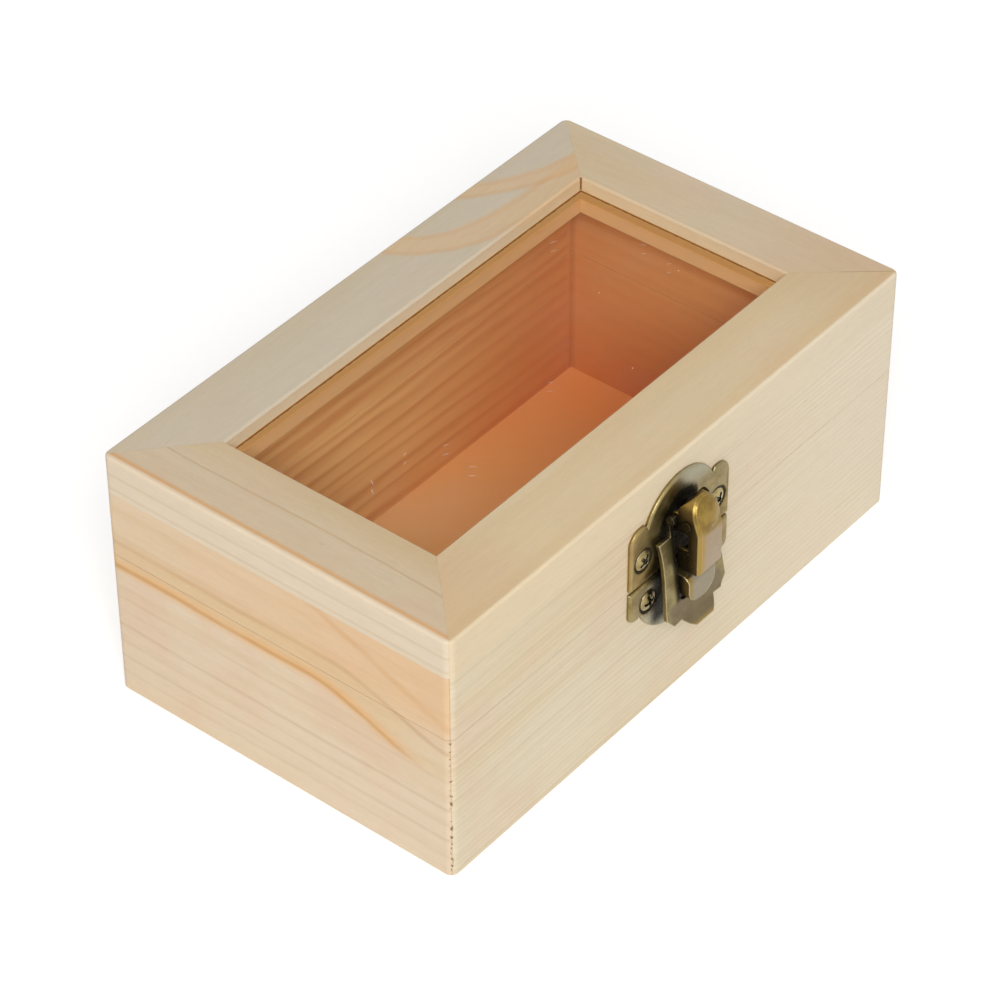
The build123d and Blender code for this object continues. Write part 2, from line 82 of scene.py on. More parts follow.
# %% [markdown]
# ## Light
# A product studio is a pale room with a large soft lamp. The world gives the even part. The lamp
# stands behind the camera, near its line of sight, so that its light also falls through the window
# on the back wall and the floor of the box. The view transform is Standard, so that a colour
# renders about as it is written.
#
# The white background is not light on the object. Light Path tells which rays see the world
# directly, in a mirror or through a pane, and only those get plain white.

# %% World and lamp
scene.view_settings.view_transform = "Standard"
white_tone = (1, 1, 1, 1)
black_tone = (0, 0, 0, 1)


def new_node(tree, kind, sockets=None, **settings):
    """Adds a node, sets its properties, and fills or links its inputs."""
    node = tree.nodes.new(kind)
    for name, value in settings.items():
        setattr(node, name, value)
    for key, value in (sockets or {}).items():
        if isinstance(value, bpy.types.NodeSocket):
            tree.links.new(value, node.inputs[key])
        else:
            node.inputs[key].default_value = value
    return node


def blended(tree, share, first, second):
    """Two shader nodes in one, with the share that the second gets."""
    sockets = {0: share, 1: first.outputs[0], 2: second.outputs[0]}
    return new_node(tree, "ShaderNodeMixShader", sockets)


def seen_directly(tree):
    """1 for rays from the camera, from a mirror and through a pane."""
    path = new_node(tree, "ShaderNodeLightPath").outputs
    share = path["Is Camera Ray"]
    for kind in ("Is Glossy Ray", "Is Transmission Ray"):
        either = new_node(tree, "ShaderNodeMath", {0: share, 1: path[kind]}, operation="MAXIMUM")
        share = either.outputs[0]
    return share


room_level = 0.42
room_tone = (1.0, 0.99, 0.975, 1)
world = bpy.data.worlds.new("studio")
world.use_nodes = True
room = world.node_tree
room.nodes.clear()
studio = new_node(room, "ShaderNodeBackground", {"Color": room_tone, "Strength": room_level})
white = new_node(room, "ShaderNodeBackground", {"Color": white_tone, "Strength": 1.0})
choice = blended(room, seen_directly(room), studio, white)
new_node(room, "ShaderNodeOutputWorld", {"Surface": choice.outputs[0]})
scene.world = world

lamp_data = bpy.data.lights.new("key", "AREA")
lamp_data.size = 0.6
lamp_data.energy = 12.0
lamp = bpy.data.objects.new("key", lamp_data)
scene.collection.objects.link(lamp)
lamp.location = Vector((-0.80, -0.72, 0.92))
box_middle = Vector((0, 0, 0.025))
lamp.rotation_euler = (box_middle - lamp.location).to_track_quat("-Z", "Y").to_euler()
print("room light", room_level, "and one lamp of", lamp_data.energy, "W")

# %% [markdown]
# ## Floor
# A sheet of white paper under the box. It is lit like everything else, so it keeps the soft
# shadow, and a little emission that only direct looks and reflections see lifts it to the white
# of the photograph's background. Far from the box the lamp is weaker, so the emission grows there.

# %% Floor
floor_half = 6.0
floor_level = -0.02 * MM
paper_tone = (0.80, 0.80, 0.80, 1)
glow_range = {"From Min": 0.25, "From Max": 1.5, "To Min": 0.47, "To Max": 0.72}


def empty_material(name):
    """A material whose node tree has nothing in it yet."""
    material = bpy.data.materials.new(name)
    material.use_nodes = True
    material.node_tree.nodes.clear()
    return material


floor_material = empty_material("white_paper")
paper = floor_material.node_tree
paper_place = new_node(paper, "ShaderNodeTexCoord").outputs["Object"]
from_box = new_node(paper, "ShaderNodeVectorMath", {0: paper_place}, operation="LENGTH")
lift_sockets = {"Value": from_box.outputs["Value"], **glow_range}
lift = new_node(paper, "ShaderNodeMapRange", lift_sockets).outputs[0]
paper_shade = new_node(paper, "ShaderNodeBsdfDiffuse", {"Color": paper_tone})
paper_glow = new_node(paper, "ShaderNodeEmission", {"Color": white_tone, "Strength": lift})
paper_off = new_node(paper, "ShaderNodeEmission", {"Color": black_tone, "Strength": 0.0})
glow = blended(paper, seen_directly(paper), paper_off, paper_glow)
both = {0: paper_shade.outputs[0], 1: glow.outputs[0]}
paper_sum = new_node(paper, "ShaderNodeAddShader", both)
new_node(paper, "ShaderNodeOutputMaterial", {"Surface": paper_sum.outputs[0]})

floor_mesh = bpy.data.meshes.new("floor")
corner_signs = ((-1, -1), (1, -1), (1, 1), (-1, 1))
floor_corners = [(x * floor_half, y * floor_half, floor_level) for x, y in corner_signs]
floor_mesh.from_pydata(floor_corners, [], [(0, 1, 2, 3)])
floor_mesh.materials.append(floor_material)
floor = bpy.data.objects.new("floor", floor_mesh)
scene.collection.objects.link(floor)
print("floor", 2 * floor_half, "m square")

# %% [markdown]
# ## A recipe for materials
# Wood and old metal both need a dozen small nodes. This class keeps the calls short: each method
# adds one or two nodes and hands back an output socket, so a material reads like a sum.
#
# Most of what follows is masks. `between` and `band` turn a place, a noise or a sum of both into a
# share from 0 to 1, and `mix` lays a colour over the rest by that share. Places are in
# millimetres, and so are the numbers that a place is compared with.

# %% Recipe helper


def tone(code):
    """A colour written as in a paint program, in Blender's linear values."""
    parts = [int(code[i : i + 2], 16) / 255 for i in (1, 3, 5)]
    linear = (c / 12.92 if c <= 0.04045 else ((c + 0.055) / 1.055) ** 2.4 for c in parts)
    return tuple(linear) + (1.0,)


class Recipe:
    """One material's node tree, with short calls. Places are in millimetres in the CAD frame."""

    noise_roughness = 0.55
    step_per_seed = (3.7, 1.3, 2.1)

    def __init__(self, name):
        self.material = empty_material(name)
        self.tree = self.material.node_tree
        coordinates = new_node(self.tree, "ShaderNodeTexCoord").outputs
        self.place = self.vector("MULTIPLY", coordinates["Object"], (1 / MM, 1 / MM, 1 / MM))
        self.x, self.y, self.z = self.split(self.place)
        self.facing = self.split(coordinates["Normal"])

    def split(self, value):
        """The three numbers of a vector."""
        return new_node(self.tree, "ShaderNodeSeparateXYZ", {0: value}).outputs

    def vector(self, operation, first, second):
        """Vector maths."""
        sockets = {0: first, 1: second}
        made = new_node(self.tree, "ShaderNodeVectorMath", sockets, operation=operation)
        return made.outputs["Value" if operation == "DOT_PRODUCT" else "Vector"]

    def calc(self, operation, *values):
        """Plain maths."""
        sockets = dict(enumerate(values))
        return new_node(self.tree, "ShaderNodeMath", sockets, operation=operation).outputs[0]

    def chain(self, operation, values):
        """Plain maths over any number of values, from the first on."""
        result = values[0]
        for value in values[1:]:
            result = self.calc(operation, result, value)
        return result

    def total(self, *values):
        """The sum of several numbers."""
        return self.chain("ADD", values)

    def product(self, *values):
        """The product of several numbers."""
        return self.chain("MULTIPLY", values)

    def largest(self, *values):
        """The largest of several numbers."""
        return self.chain("MAXIMUM", values)

    def minus(self, first, second):
        """The first number less the second."""
        return self.calc("SUBTRACT", first, second)

    def absolute(self, value):
        """A number without its sign."""
        return self.calc("ABSOLUTE", value)

    def scaled(self, value, factor, offset):
        """A number times a factor, plus an offset."""
        return self.calc("MULTIPLY_ADD", value, factor, offset)

    def distance(self, first, second):
        """How far two steps at right angles lead."""
        squares = self.product(first, first), self.product(second, second)
        return self.calc("SQRT", self.total(*squares))

    def between(self, value, start, end, low=0.0, high=1.0):
        """A smooth step from low to high as value goes from start to end."""
        ends = {"From Min": start, "From Max": end, "To Min": low, "To Max": high}
        sockets = {"Value": value, **ends}
        step = new_node(self.tree, "ShaderNodeMapRange", sockets, interpolation_type="SMOOTHSTEP")
        return step.outputs[0]

    def band(self, value, centre, half_width):
        """1 at the centre, falling smoothly to 0 a half width away on both sides."""
        return self.between(self.absolute(self.minus(value, centre)), 0.0, half_width, 1.0, 0.0)

    def noise(self, scale, detail=3.0, seed=0.0):
        """Noise around 0, in cells per millimetre: one number, or one for each axis."""
        per_axis = (scale,) * 3 if isinstance(scale, float) else scale
        stretched = self.vector("MULTIPLY", self.place, per_axis)
        moved = self.vector("ADD", stretched, [seed * step for step in self.step_per_seed])
        texture = {"Scale": 1.0, "Detail": detail, "Roughness": self.noise_roughness}
        made = new_node(self.tree, "ShaderNodeTexNoise", {"Vector": moved, **texture})
        return self.minus(made.outputs[0], 0.5)

    def mix(self, share, first, second, mode="MIX"):
        """Two colours mixed. A colour may be written as a paint code."""
        pair = [tone(colour) if isinstance(colour, str) else colour for colour in (first, second)]
        sockets = {0: share, 6: pair[0], 7: pair[1]}
        mixed = new_node(self.tree, "ShaderNodeMix", sockets, data_type="RGBA", blend_type=mode)
        return mixed.outputs[2]

    def shade(self, colour, amount):
        """A colour made lighter or darker by a number around 1."""
        as_grey = new_node(self.tree, "ShaderNodeCombineColor", {0: amount, 1: amount, 2: amount})
        return self.mix(1.0, colour, as_grey.outputs[0], "MULTIPLY")

    def bump(self, height, depth, under=None):
        """A normal pushed by a height, with the full depth in millimetres."""
        sockets = {"Height": height, "Strength": 1.0, "Distance": depth * MM}
        if under is not None:
            sockets["Normal"] = under
        return new_node(self.tree, "ShaderNodeBump", sockets).outputs[0]

    def finish(self, colour, roughness, normal, **fixed):
        """The Principled shader and the output. Fixed values go straight on its sockets."""
        sockets = {"Base Color": colour, "Roughness": roughness, "Normal": normal}
        sockets.update({key.replace("_", " "): value for key, value in fixed.items()})
        shader = new_node(self.tree, "ShaderNodeBsdfPrincipled", sockets)
        return self.output(shader)

    def output(self, shader):
        """The material, once its last shader is linked to the output."""
        new_node(self.tree, "ShaderNodeOutputMaterial", {"Surface": shader.outputs[0]})
        return self.material


print("recipe ready; warm white is", [round(c, 2) for c in tone("#F2E8D8")])

# %% [markdown]
# ## Pine
# A pine board is pale, soft earlywood with a thin darker line of latewood for each year. Where
# those lines run depends on how the board was sawn, so each board gets a direction across the
# rings, a gap, and a slow wander along the grain. An image texture would show only one side. Here
# the rings are slices of a solid pattern, so they also run over an edge as in real wood.
#
# On top of the rings lie warm and rosy clouds and fine fibres. Where two mitred boards meet there
# is a thin line. On the top frame it hardly shows but for a crack at the front right corner. In
# the near left arris below the seam some fibre has broken out and left small pits.

# %% Pine recipe
half_length = 63.5
half_width = 38.25
wall_thickness = 9.0
seam_height = 32.0
box_height = 54.0
pane_top = 51.0
left_rail, right_rail, front_rail, back_rail = 15.7, 13.3, 15.7, 14.2


def from_ends(r):
    """How far a point is from the nearer end of the box, in millimetres."""
    return r.minus(half_length, r.absolute(r.x))


def mitre_gap(r, is_frame):
    """How far a point is from the mitre of its corner, in millimetres, roughly."""
    from_end = from_ends(r)
    from_side = r.minus(half_width, r.absolute(r.y))
    if is_frame:
        is_right = r.calc("GREATER_THAN", r.x, 0.0)
        is_back = r.calc("GREATER_THAN", r.y, 0.0)
        end_width = r.scaled(is_right, right_rail - left_rail, left_rail)
        side_width = r.scaled(is_back, back_rail - front_rail, front_rail)
        from_end = r.product(r.calc("DIVIDE", from_end, end_width), front_rail)
        from_side = r.product(r.calc("DIVIDE", from_side, side_width), front_rail)
    return r.absolute(r.minus(from_end, from_side))


def joint_marks(r, colour, is_frame, seed):
    """The line where two boards meet, and pits in the near left arris below the seam."""
    gap = mitre_gap(r, is_frame)
    broken = r.between(r.noise(0.5, detail=4.0, seed=seed + 7), -0.12, 0.14)
    line_share = r.scaled(broken, 0.12, 0.02 if is_frame else 0.25)
    if is_frame:
        crack = r.product(r.between(r.x, 53.0, 57.0), r.between(r.y, -28.0, -31.0), 0.5)
        line_share = r.largest(line_share, crack)
    line = r.product(r.between(gap, 0.05, 0.22, 1.0, 0.0), line_share)
    line_tone, pit_tone = "#96703F", "#7A5428"
    if is_frame:
        return r.mix(line, colour, line_tone), line
    outer = r.between(from_ends(r), 2.0, 1.5)
    line = r.product(line, outer)
    below = r.between(r.z, seam_height + 1.0, seam_height - 1.0)
    near_left = r.product(below, r.between(r.x, 0.0, -9.0), r.between(r.y, 0.0, -9.0))
    slow = r.product(r.noise(0.2, seed=3.0), 0.5)
    uneven = r.total(r.noise(1.0, detail=2.0, seed=9.0), slow)
    in_arris = r.between(gap, 0.15, 0.5, 1.0, 0.0)
    pit = r.product(in_arris, r.between(uneven, 0.02, 0.1), near_left, outer)
    colour = r.mix(line, colour, line_tone)
    return r.mix(r.product(pit, 0.85), colour, pit_tone), r.largest(line, pit)


def pine(
    name, along, across, tones, line_strength, wander, seed,
    is_frame=False, features=None, inner=None,
):
    """Pine with its grain along X or Y. across is the rings per millimetre along each axis."""
    r = Recipe(name)
    pale, warm, rosy, line = tones
    stretch = {"X": (0.1, 1.0, 1.0), "Y": (1.0, 0.1, 1.0)}[along]

    def streaks(per_mm, detail, number):
        """Noise that is drawn out along the grain."""
        return r.noise([s * per_mm for s in stretch], detail=detail, seed=seed + number)

    slow, small = streaks(0.05, 2.0, 1), streaks(0.35, 3.0, 2)
    rings = r.vector("DOT_PRODUCT", r.place, across)
    rings = r.total(rings, r.product(slow, wander), r.product(small, wander * 0.3))
    through = r.calc("FRACT", rings)
    darkest = 0.86
    early = r.between(through, 0.15, darkest)
    late = r.between(through, darkest, 1.0, 1.0, 0.0)
    year = {"W": r.calc("FLOOR", rings)}
    luck = new_node(r.tree, "ShaderNodeTexWhiteNoise", year, noise_dimensions="1D").outputs[0]
    ring = r.product(r.calc("POWER", early, 2.0), late, r.scaled(luck, 0.7, 0.3))
    clouds = r.between(r.noise(0.05, seed=seed + 8), -0.05, 0.25, 0.0, 0.7)
    colour = r.mix(r.between(streaks(0.06, 3.0, 3), -0.15, 0.2), pale, warm)
    colour = r.mix(clouds, colour, rosy)
    colour = r.mix(r.product(ring, line_strength), colour, line)
    for painter in (features, inner):
        if painter is not None:
            colour = painter(r, colour)
    middle, fibre, fine = streaks(0.9, 3.0, 4), streaks(3.0, 4.0, 5), streaks(9.0, 2.0, 6)
    figure = r.product(middle, 0.10), r.product(fibre, 0.13), r.product(fine, 0.10)
    colour = r.shade(colour, r.total(1.0, *figure))
    pore = r.between(streaks(4.0, 1.0, 7), 0.22, 0.28)
    colour = r.mix(r.product(pore, 0.25), colour, "#B9966A")
    colour, mark = joint_marks(r, colour, is_frame, seed)
    relief = r.product(fibre, 0.6), r.product(middle, 0.4)
    height = r.total(*relief, r.product(ring, -0.2), r.product(mark, -1.2))
    roughness = r.scaled(fibre, 0.2, 0.6)
    return r.finish(colour, roughness, r.bump(height, 0.05), Specular_IOR_Level=0.25)


print("pine recipe ready for boards", wall_thickness, "mm thick")

# %% [markdown]
# ## Inside the box
# Under the pane the light has bounced from board to board, and the unsanded inner faces are more
# orange. The mask is a plain box test on the place: a point of a wall that lies on the inner side
# gets the inner tone, with wavy level streaks about 4 mm apart. The orange deepens to the right
# and downwards, and the streaks fade at the back wall's left end and on the right wall.

# %% Inner faces


def inner_faces(r, colour):
    """The orange of the inner faces, with level streaks and a darker back right corner."""
    inside = 1.0
    for place, half in ((r.x, half_length), (r.y, half_width)):
        reach = half - wall_thickness
        inside = r.product(r.between(r.absolute(place), reach + 0.2, reach + 0.1), inside)
    wavy = r.noise((0.02, 0.02, 0.25), detail=2.0, seed=4.0)
    rows = r.total(r.product(r.z, 0.28), r.product(wavy, 1.3), r.product(r.x, 0.004))
    through = r.calc("FRACT", rows)
    darkest = 0.75
    line = r.calc("POWER", r.between(through, 0.1, darkest), 1.5)
    ending = r.between(through, darkest, 1.0, 1.0, 0.0)
    uneven = r.noise((0.03, 0.03, 0.3), detail=2.0, seed=6.0)
    uneven = r.between(uneven, -0.25, 0.2, 0.35, 1.0)
    off_right_wall = r.between(r.x, 54.0, 52.0, 0.25, 1.0)
    on_back = r.product(off_right_wall, r.between(r.x, -50.0, -20.0, 0.35, 1.0))
    streak = r.product(line, ending, uneven, on_back, 0.6)
    lower = r.scaled(r.between(r.z, 46.0, 2.0), 0.4, 0.6)
    towards_right = r.between(r.x, -15.0, 50.0, 0.0, 1.0)
    shade = r.mix(r.product(towards_right, lower), "#F3C884", "#D48236")
    blotch = r.between(r.noise((0.04, 0.04, 0.12), detail=2.0, seed=14.0), -0.1, 0.2)
    shade = r.mix(r.product(blotch, 0.3), shade, "#DE9C50")
    shade = r.mix(streak, shade, "#CC7A36")
    corner = r.product(r.between(r.x, 53.2, 54.3), r.between(r.y, 28.0, 29.1))
    shade = r.mix(r.product(corner, 0.25), shade, "#9A5626")
    return r.mix(inside, colour, shade)


print("inner faces are those within", half_length - wall_thickness, "mm of the middle")

# %% [markdown]
# ## The boards
# Each wall was one board before the box was sawn into case and lid, so both halves share a
# material and the grain runs on across the seam. The left end shows two stronger lines that are
# level at the back and dip towards the near corner, with a fainter arch above them. The front is
# quarter sawn, with lines so fine and level that it looks almost plain.

# %% Board materials
left_years = ((22.5, 0.18), (15.8, 0.34), (12.2, 0.15), (8.7, 0.26), (5.0, 0.15))


def left_lines(r, colour):
    """The strong lines of the left board, the warm band above them, and the calm lower part."""
    drift = r.product(r.noise((0.1, 0.03, 0.1), seed=2.0), 1.6)
    brown_height = r.total(r.z, r.between(r.y, -12.0, -40.0, 0.0, 6.4), drift)
    orange_height = r.total(r.z, r.between(r.y, -7.0, -36.0, 0.0, 6.8), drift)
    warm = r.between(r.y, 40.0, -30.0, 0.25, 0.75)
    colour = r.mix(r.product(r.between(r.z, 29.0, 36.0), warm, 0.8), colour, "#EBC090")
    fading = r.between(r.y, -34.0, -22.0)
    patchy = r.noise((0.1, 0.06, 0.2), detail=2.0, seed=15.0)
    patchy = r.between(patchy, -0.2, 0.15, 0.6, 1.0)
    tan_zone = r.product(r.between(orange_height, 28.5, 31.0), r.between(brown_height, 36.5, 34.0))
    tan_zone = r.product(tan_zone, r.scaled(fading, 0.35, 0.2))
    colour = r.mix(tan_zone, colour, "#E3C392")
    arch_height = r.total(r.scaled(r.y, -0.39, -3.7), r.z, drift)
    arch = r.product(r.band(arch_height, 45.7, 1.5), r.between(r.y, 0.0, -12.0), patchy, 0.45)
    colour = r.mix(arch, colour, "#DDA873")
    colour = r.mix(r.product(r.band(brown_height, 35.4, 1.0), patchy, 0.5), colour, "#C99E6A")
    glow_band = r.product(r.band(orange_height, 30.0, 2.6), fading, patchy, 0.75)
    colour = r.mix(glow_band, colour, "#EDB97C")
    core = r.product(r.band(orange_height, 29.6, 0.9), fading, patchy, 0.65)
    colour = r.mix(core, colour, "#D09A58")
    for place, share in left_years:
        year_line = r.product(r.band(r.total(r.z, drift), place, 0.7), share)
        colour = r.mix(year_line, colour, "#CBA77C")
    return colour


def front_lines(r, colour):
    """Fine pale lines, about 1.3 mm apart, that run nearly level, and a paler right half."""
    phase_per_mm = 4.9
    wave = r.noise((0.02, 0.1, 0.12), seed=12.0)
    phase = r.total(r.product(r.z, phase_per_mm), r.product(wave, 14.0), r.product(r.x, 0.02))
    patchy = r.between(r.noise((0.03, 0.1, 0.12), seed=13.0), -0.2, 0.25, 0.15, 1.0)
    colour = r.mix(r.between(r.x, -20.0, 60.0, 0.0, 0.8), colour, "#F2E4CB")
    return r.shade(colour, r.scaled(r.product(r.calc("SINE", phase), patchy), 0.045, 1.0))


wall_materials = {
    "front": pine(
        "pine_front", "X", (0.0, 0.12, 0.30), ("#EADCC0", "#E6D2AE", "#E9D0B4", "#D6BF97"),
        line_strength=0.30, wander=0.8, seed=1.0, features=front_lines, inner=inner_faces,
    ),
    "back": pine(
        "pine_back", "X", (0.0, 0.10, 0.28), ("#E8D6B8", "#E3C9A0", "#E8CCAE", "#CFAB7A"),
        line_strength=0.55, wander=1.2, seed=2.0, inner=inner_faces,
    ),
    "left": pine(
        "pine_left", "Y", (0.05, 0.0, 0.16), ("#EAD6BA", "#E8CFAC", "#EAC9AC", "#D9B78C"),
        line_strength=0.30, wander=0.7, seed=3.0, features=left_lines, inner=inner_faces,
    ),
    "right": pine(
        "pine_right", "Y", (0.07, 0.0, 0.30), ("#E9D7BA", "#E3CAA2", "#E8CCB0", "#CEA97A"),
        line_strength=0.5, wander=1.1, seed=4.0, inner=inner_faces,
    ),
}


def paint(name, material):
    """Gives a CAD node's object one material in all its slots."""
    mesh = nodes[name].data
    mesh.materials.clear()
    mesh.materials.append(material)


for side, material in wall_materials.items():
    paint(side + "_wall", material)
    paint("lid_" + side + "_wall", material)
print(len(wall_materials), "boards, each on the case and the lid")

# %% [markdown]
# ## The top frame
# Four mitred rails, each from its own strip of pine. The back rail has two warm bands that sweep
# down to the right, and the left rail one thin brown line parallel to its outer edge. Round the
# window the sawn edges are a warmer tan under the pane than above it.

# %% Rail materials
# For each arch: where it starts, its fall and its rise, and how wide its band is.
arches = ((10.0, 8.0, 14.0, 6.0), (32.5, 14.0, 13.0, 4.2))
arch_foot = 23.8


def past_window(r):
    """How far a point lies outside the window, along X and along Y. Inside both are negative."""
    reach_x = half_length - (left_rail + right_rail) / 2
    reach_y = half_width - (front_rail + back_rail) / 2
    off_x = r.absolute(r.minus(r.x, (left_rail - right_rail) / 2))
    off_y = r.absolute(r.minus(r.y, (front_rail - back_rail) / 2))
    return r.minus(off_x, reach_x), r.minus(off_y, reach_y)


def window_cheeks(r, colour):
    """The sawn edges round the pane: tan below it, and a cracked mitre at the back right."""
    past_x, past_y = past_window(r)
    cheek = r.between(r.largest(past_x, past_y), 0.35, 0.15)
    above_pane = r.product(cheek, r.between(r.z, box_height - 0.1, box_height - 0.8), 0.5)
    colour = r.mix(above_pane, colour, "#E8CFA2")
    below_pane = r.product(cheek, r.between(r.z, pane_top, pane_top - 0.5), 0.9)
    colour = r.mix(below_pane, colour, "#EFC48A")
    in_corner = r.between(r.calc("MINIMUM", past_x, past_y), -0.35, -0.15)
    crack = r.product(in_corner, r.between(r.z, pane_top - 0.1, pane_top))
    crack = r.product(crack, r.between(r.z, box_height + 0.1, box_height - 0.4))
    crack = r.product(crack, r.between(r.x, 0.0, 1.0), r.between(r.y, 0.0, 1.0))
    return r.mix(r.product(crack, cheek, 0.85), colour, "#7A4420")


def back_rail_arches(r, colour):
    """Two warm bands that sweep down to the right, as where a ring is cut at a low angle."""
    for start, fall, rise, band_width in arches:
        run = r.calc("EXPONENT", r.calc("DIVIDE", r.minus(start, r.x), fall))
        curve = r.scaled(run, rise, arch_foot)
        slope = r.calc("SQRT", r.scaled(r.product(run, run), (rise / fall) ** 2, 1.0))
        waver = r.product(r.noise(0.12, seed=start), 1.6)
        off = r.total(r.calc("DIVIDE", r.minus(r.y, curve), slope), waver)
        on_top = r.between(r.z, pane_top - 0.5, box_height - 0.2)
        on_rail = r.product(r.between(run, 1.35, 1.15), on_top)
        within = r.between(off, -1.0, 0.3), r.between(off, band_width, band_width - 1.8)
        colour = r.mix(r.product(*within, on_rail, 0.6), colour, "#E3BF92")
        for edge, share in ((-0.4, 0.35), (band_width - 1.4, 0.25)):
            line = r.between(r.absolute(r.minus(off, edge)), 0.0, 1.1, share, 0.0)
            colour = r.mix(r.product(line, on_rail), colour, "#DBA870")
    return colour


def left_rail_line(r, colour):
    """A thin brown line 8 mm in from the outer edge, a warm outer arris, level side lines."""
    waver = r.product(r.noise(0.05, seed=3.0), 1.5)
    thin = r.band(r.total(r.x, waver), 8.4 - half_length, 0.4)
    colour = r.mix(r.product(thin, 0.4), colour, "#BE9666")
    arris = r.product(r.band(r.x, 1.0 - half_length, 1.2), r.band(r.z, box_height, 1.4))
    colour = r.mix(r.product(arris, 0.8), colour, "#E0A868")
    # Painted light: the rail's outer side is painted paler than its top, as the lamp lights it
    # more.
    lit_side = r.between(r.x, 1.2 - half_length, 0.6 - half_length)
    colour = r.mix(r.product(lit_side, 0.7), colour, "#EFDFC6")
    for place in (47.2, 50.3):
        colour = r.mix(r.product(r.band(r.z, place, 0.5), lit_side, 0.3), colour, "#CDAF86")
    return colour


def front_rail_tone(r, colour):
    """Yellower along the front arris, browner at both ends, and painted light: a paler side."""
    near_top = r.between(r.z, box_height - 2.0, box_height - 0.4)
    near = r.product(r.between(r.y, -31.0, -37.5), near_top)
    colour = r.mix(r.product(near, 0.35), colour, "#E6C898")
    colour = r.mix(r.between(r.absolute(r.x), 32.0, 58.0, 0.0, 0.45), colour, "#D6B68C")
    # Painted light: the rail's outer side is painted paler than its top, as the lamp lights it
    # more.
    lit_side = r.between(r.y, -37.4, -38.0)
    lit_side_tone = r.mix(r.between(r.x, -40.0, 50.0), "#EDDAB8", "#F0E2C8")
    return r.mix(r.product(lit_side, 0.85), colour, lit_side_tone)


def right_rail_tone(r, colour):
    """Rosier towards the front."""
    return r.mix(r.between(r.y, 0.0, -30.0, 0.0, 0.6), colour, "#DAB894")


def rail(name, along, across, tones, line_strength, seed, features):
    """Pine for one rail of the top frame."""
    return pine(
        name, along, across, tones, line_strength, wander=1.0, seed=seed,
        is_frame=True, features=features, inner=window_cheeks,
    )


rail_materials = {
    "front": rail(
        "pine_rail_front", "X", (0.0, 0.08, 0.16), ("#E2CDA9", "#E6C99C", "#E4C4A2", "#D3B382"),
        line_strength=0.25, seed=5.0, features=front_rail_tone,
    ),
    "back": rail(
        "pine_rail_back", "X", (0.0, 0.05, 0.2), ("#D6C9B3", "#D3C3A6", "#D8C3AC", "#C6AE88"),
        line_strength=0.15, seed=6.0, features=back_rail_arches,
    ),
    "left": rail(
        "pine_rail_left", "Y", (0.10, 0.0, 0.2), ("#DCC8AA", "#D8BF98", "#DCC0A2", "#CBAA7C"),
        line_strength=0.28, seed=7.0, features=left_rail_line,
    ),
    "right": rail(
        "pine_rail_right", "Y", (0.10, 0.0, 0.2), ("#DFCDB2", "#DCC5A0", "#E2C6AA", "#CDAF86"),
        line_strength=0.22, seed=8.0, features=right_rail_tone,
    ),
}
for side, material in rail_materials.items():
    paint("frame_" + side + "_rail", material)


def panel_material():
    """The thin floor panel: smooth, orange brown, with hardly any figure."""
    r = Recipe("panel_board")
    colour = r.mix(r.between(r.x, -30.0, 50.0), "#F9D292", "#EE9E50")
    clouds = r.between(r.noise((0.03, 0.06, 0.1)), -0.2, 0.2, 0.0, 0.4)
    colour = r.mix(clouds, colour, "#EAB070")
    fibre = r.noise((0.4, 4.0, 4.0))
    colour = r.shade(colour, r.scaled(fibre, 0.12, 1.0))
    return r.finish(colour, r.scaled(fibre, 0.2, 0.6), r.bump(fibre, 0.03), Specular_IOR_Level=0.3)


paint("bottom_panel", panel_material())
print(len(rail_materials), "rails and the floor panel")

# %% [markdown]
# ## The pane
# Clear sheet in the groove of the rails. Glass shaders block the lamps unless caustics are on, so
# the pane is a transparent shader with a mirror share that grows towards grazing angles, which is
# what a thin sheet shows. A few fine scratches and specks of dust lie on it. Where it meets the
# rails a thin brown line is painted shadow of the groove's gap. No light reaches the part that sits
# in the groove, so as painted light it glows by itself in the tone of the wood behind it.

# %% Pane
# Each scratch: the place of its middle, its turn in degrees and its length.
scratches = (
    (-24.0, -10.7, -50, 2.4), (-22.4, -3.5, -20, 2.2), (-28.6, 0.4, 10, 1.6),
    (-37.8, -0.1, 55, 2.6), (34.5, 18.1, -20, 2.6), (44.1, 4.7, -50, 2.0),
    (42.4, -2.3, -45, 1.6), (2.2, -6.8, -55, 1.6),
)


def scratch(r, x, y, angle, length):
    """How much a point lies on one fine scratch."""
    turned = math.radians(angle)
    run, rise = math.cos(turned), math.sin(turned)
    off_x, off_y = r.minus(r.x, x), r.minus(r.y, y)
    along = r.total(r.product(off_x, run), r.product(off_y, rise))
    bend = r.product(along, along, 0.1)
    aside = r.total(r.product(off_y, run), r.product(off_x, -rise), bend)
    return r.product(r.band(along, 0.0, length / 2), r.band(aside, 0.0, 0.14))


def dust_cover(r):
    """The share of the pane that dust specks, scratches and a faint haze cover."""
    cells = new_node(r.tree, "ShaderNodeTexVoronoi", {"Vector": r.place, "Scale": 0.2}).outputs
    cell_luck = new_node(r.tree, "ShaderNodeSeparateColor", {0: cells["Color"]}).outputs[0]
    speck = r.between(cells["Distance"], 0.015, 0.04, 0.5, 0.0)
    cover = r.product(speck, r.calc("GREATER_THAN", cell_luck, 0.8))
    for mark in scratches:
        cover = r.largest(cover, r.product(scratch(r, *mark), 0.42))
    return r.largest(cover, r.between(r.noise(0.05), 0.0, 0.3, 0.0, 0.02))


